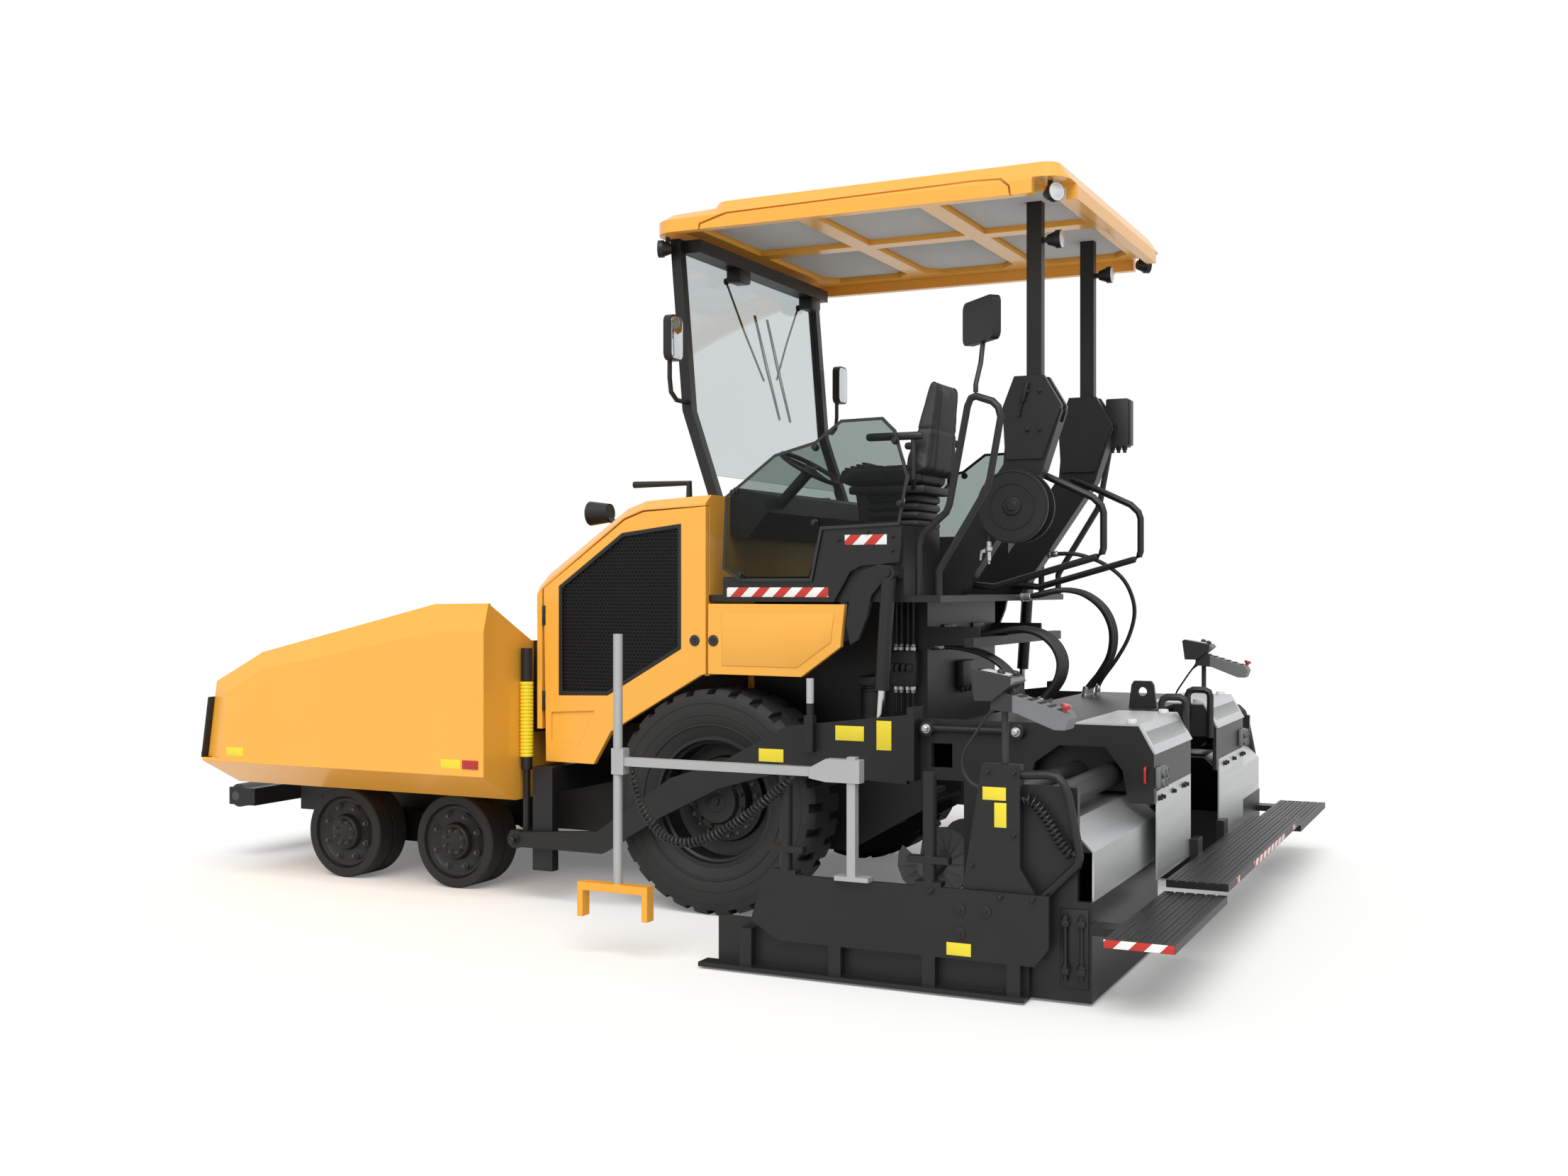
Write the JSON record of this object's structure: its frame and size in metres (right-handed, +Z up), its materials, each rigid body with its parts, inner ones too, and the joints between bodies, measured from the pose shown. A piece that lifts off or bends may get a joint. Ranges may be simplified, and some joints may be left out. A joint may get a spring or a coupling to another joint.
{
  "type": "wheeled asphalt paver",
  "caption": "Road paver on driven tyres and steered bogie wheels: front hopper, conveyors, augers and a rear extending screed on tow arms, with canopy-covered operator platform.",
  "frame": {"origin": "middle of the ground area under the machine", "axes": "+X forward to the push rollers, +Y to the left, +Z up"},
  "size_m": [6.38, 4.67, 3.83],
  "materials": {
    "yellow_paint": "gloss",
    "black_paint": "satin",
    "wear_steel": "worn",
    "cast_grey": "rough",
    "tyre_rubber": "matte",
    "solid_rubber": "matte",
    "rod_chrome": "polished",
    "zinc_sheet": "brushed",
    "tinted_glass": "clear",
    "dash_plastic": "grained",
    "seat_vinyl": "grained"
  },
  "bodies": {
    "tractor": {"chassis_frame": "black_paint", "conveyors": "wear_steel", "engine_block": "cast_grey", "hood": "yellow_paint", "hood_lamps": "black_paint", "platform": "black_paint", "side_glass": "tinted_glass", "dashboard": "dash_plastic", "seat": "seat_vinyl", "canopy_supports": "black_paint", "canopy_posts": "black_paint", "canopy_roof": "yellow_paint", "windshield_frame": "black_paint", "windshield_glass": "tinted_glass", "guard_rails": "black_paint", "hose_reel": "black_paint", "tow_guides": "black_paint", "bogie_beams": "black_paint", "auger_case": "black_paint", "work_lamps": "black_paint", "mirrors": "black_paint"},
    "drive_wheel_left": {"drive_tyre_left": "tyre_rubber", "drive_rim_left": "black_paint"},
    "drive_wheel_right": {"drive_tyre_right": "tyre_rubber", "drive_rim_right": "black_paint"},
    "knuckle_front_left": {"knuckle_front_left": "black_paint"},
    "wheel_front_left": {"wheel_front_left": "solid_rubber"},
    "knuckle_front_right": {"knuckle_front_right": "black_paint"},
    "wheel_front_right": {"wheel_front_right": "solid_rubber"},
    "knuckle_rear_left": {"knuckle_rear_left": "black_paint"},
    "wheel_rear_left": {"wheel_rear_left": "solid_rubber"},
    "knuckle_rear_right": {"knuckle_rear_right": "black_paint"},
    "wheel_rear_right": {"wheel_rear_right": "solid_rubber"},
    "hopper_wing_left": {"hopper_wing_left": "yellow_paint"},
    "engine_door_left": {"engine_door_left": "yellow_paint"},
    "service_panel_left": {"service_panel_left": "yellow_paint"},
    "hopper_wing_right": {"hopper_wing_right": "yellow_paint"},
    "engine_door_right": {"engine_door_right": "yellow_paint"},
    "service_panel_right": {"service_panel_right": "yellow_paint"},
    "push_beam": {"push_beam": "black_paint"},
    "push_rollers": {"push_rollers": "wear_steel"},
    "auger_left": {"auger_left": "wear_steel"},
    "auger_right": {"auger_right": "wear_steel"},
    "screed": {"tow_arms": "black_paint", "main_screed": "black_paint", "screed_covers": "zinc_sheet", "centre_walkway": "black_paint", "screed_rails": "black_paint"},
    "lift_barrels": {"lift_barrels": "black_paint"},
    "lift_rods": {"lift_rods": "rod_chrome"},
    "extender_left": {"extender_left": "black_paint", "extender_cover_left": "zinc_sheet", "console_left": "dash_plastic"},
    "end_gate_left": {"end_gate_left": "black_paint", "sensor_arm_left": "zinc_sheet"},
    "extender_right": {"extender_right": "black_paint", "extender_cover_right": "zinc_sheet", "console_right": "dash_plastic"},
    "end_gate_right": {"end_gate_right": "black_paint", "sensor_arm_right": "zinc_sheet"}
  },
  "joints": [
    {"name": "drive_left_spin", "type": "hinge", "parent": "tractor", "child": "drive_wheel_left", "pos_m": [-0.505, 1, 0.6], "axis": [0, 1, 0], "continuous": true},
    {"name": "drive_right_spin", "type": "hinge", "parent": "tractor", "child": "drive_wheel_right", "pos_m": [-0.505, -1, 0.6], "axis": [0, 1, 0], "continuous": true},
    {"name": "steer_front_left", "type": "hinge", "parent": "tractor", "child": "knuckle_front_left", "pos_m": [2.015, 0.79, 0.27], "axis": [0, 0, 1], "range_deg": [-20, 20]},
    {"name": "roll_front_left", "type": "hinge", "parent": "knuckle_front_left", "child": "wheel_front_left", "pos_m": [2.015, 0.995, 0.27], "axis": [0, 1, 0], "continuous": true},
    {"name": "steer_front_right", "type": "hinge", "parent": "tractor", "child": "knuckle_front_right", "pos_m": [2.015, -0.79, 0.27], "axis": [0, 0, 1], "range_deg": [-20, 20]},
    {"name": "roll_front_right", "type": "hinge", "parent": "knuckle_front_right", "child": "wheel_front_right", "pos_m": [2.015, -0.995, 0.27], "axis": [0, 1, 0], "continuous": true},
    {"name": "steer_rear_left", "type": "hinge", "parent": "tractor", "child": "knuckle_rear_left", "pos_m": [1.205, 0.79, 0.27], "axis": [0, 0, 1], "range_deg": [-20, 20]},
    {"name": "roll_rear_left", "type": "hinge", "parent": "knuckle_rear_left", "child": "wheel_rear_left", "pos_m": [1.205, 0.995, 0.27], "axis": [0, 1, 0], "continuous": true},
    {"name": "steer_rear_right", "type": "hinge", "parent": "tractor", "child": "knuckle_rear_right", "pos_m": [1.205, -0.79, 0.27], "axis": [0, 0, 1], "range_deg": [-20, 20]},
    {"name": "roll_rear_right", "type": "hinge", "parent": "knuckle_rear_right", "child": "wheel_rear_right", "pos_m": [1.205, -0.995, 0.27], "axis": [0, 1, 0], "continuous": true},
    {"name": "wing_left_fold", "type": "hinge", "parent": "tractor", "child": "hopper_wing_left", "pos_m": [1.695, 0.6183, 0.565], "axis": [1, 0, 0], "range_deg": [0, 45]},
    {"name": "engine_door_left_open", "type": "hinge", "parent": "tractor", "child": "engine_door_left", "pos_m": [0.566, 1.165, 1.4], "axis": [0, 0, -1], "range_deg": [0, 90]},
    {"name": "service_panel_left_open", "type": "hinge", "parent": "tractor", "child": "service_panel_left", "pos_m": [-1.271, 1.165, 1.45], "axis": [0, 0, 1], "range_deg": [0, 90]},
    {"name": "wing_right_fold", "type": "hinge", "parent": "tractor", "child": "hopper_wing_right", "pos_m": [1.695, -0.6183, 0.565], "axis": [-1, 0, 0], "range_deg": [0, 45]},
    {"name": "engine_door_right_open", "type": "hinge", "parent": "tractor", "child": "engine_door_right", "pos_m": [0.566, -1.165, 1.4], "axis": [0, 0, 1], "range_deg": [0, 90]},
    {"name": "service_panel_right_open", "type": "hinge", "parent": "tractor", "child": "service_panel_right", "pos_m": [-1.271, -1.165, 1.45], "axis": [0, 0, -1], "range_deg": [0, 90]},
    {"name": "push_beam_swing", "type": "hinge", "parent": "tractor", "child": "push_beam", "pos_m": [2.885, 0, 0.4], "axis": [0, 0, 1], "range_deg": [-5, 5]},
    {"name": "push_rollers_spin", "type": "hinge", "parent": "push_beam", "child": "push_rollers", "pos_m": [3.115, 0, 0.4], "axis": [0, 1, 0], "continuous": true},
    {"name": "auger_left_spin", "type": "hinge", "parent": "tractor", "child": "auger_left", "pos_m": [-1.695, 0.6, 0.33], "axis": [0, 1, 0], "continuous": true},
    {"name": "auger_right_spin", "type": "hinge", "parent": "tractor", "child": "auger_right", "pos_m": [-1.695, -0.6, 0.33], "axis": [0, 1, 0], "continuous": true},
    {"name": "screed_lift", "type": "hinge", "parent": "tractor", "child": "screed", "pos_m": [0.666, 0, 0.341], "axis": [0, 1, 0], "range_deg": [0, 7]},
    {"name": "lift_barrels_swing", "type": "hinge", "parent": "tractor", "child": "lift_barrels", "pos_m": [-1.528, 0, 1.812], "axis": [0, -1, 0], "range_deg": [0, 8.2]},
    {"name": "lift_rods_slide", "type": "slide", "parent": "lift_barrels", "child": "lift_rods", "axis": [-0.0667, 0, 0.9978], "range_m": [0, 0.245]},
    {"name": "extender_left_slide", "type": "slide", "parent": "screed", "child": "extender_left", "axis": [0, 1, 0], "range_m": [-0.86, 0]},
    {"name": "end_gate_left_lift", "type": "slide", "parent": "extender_left", "child": "end_gate_left", "axis": [0, 0, 1], "range_m": [0, 0.08]},
    {"name": "extender_right_slide", "type": "slide", "parent": "screed", "child": "extender_right", "axis": [0, -1, 0], "range_m": [-0.86, 0]},
    {"name": "end_gate_right_lift", "type": "slide", "parent": "extender_right", "child": "end_gate_right", "axis": [0, 0, 1], "range_m": [0, 0.08]}
  ],
  "couplings": [
    {"joint": "steer_front_right", "follows": "steer_front_left", "ratio": 1},
    {"joint": "steer_rear_left", "follows": "steer_front_left", "ratio": 1},
    {"joint": "steer_rear_right", "follows": "steer_front_left", "ratio": 1},
    {"joint": "lift_barrels_swing", "follows": "screed_lift", "ratio": 1.139},
    {"joint": "lift_rods_slide", "follows": "screed_lift", "m_per_rad": 1.9898}
  ]
}
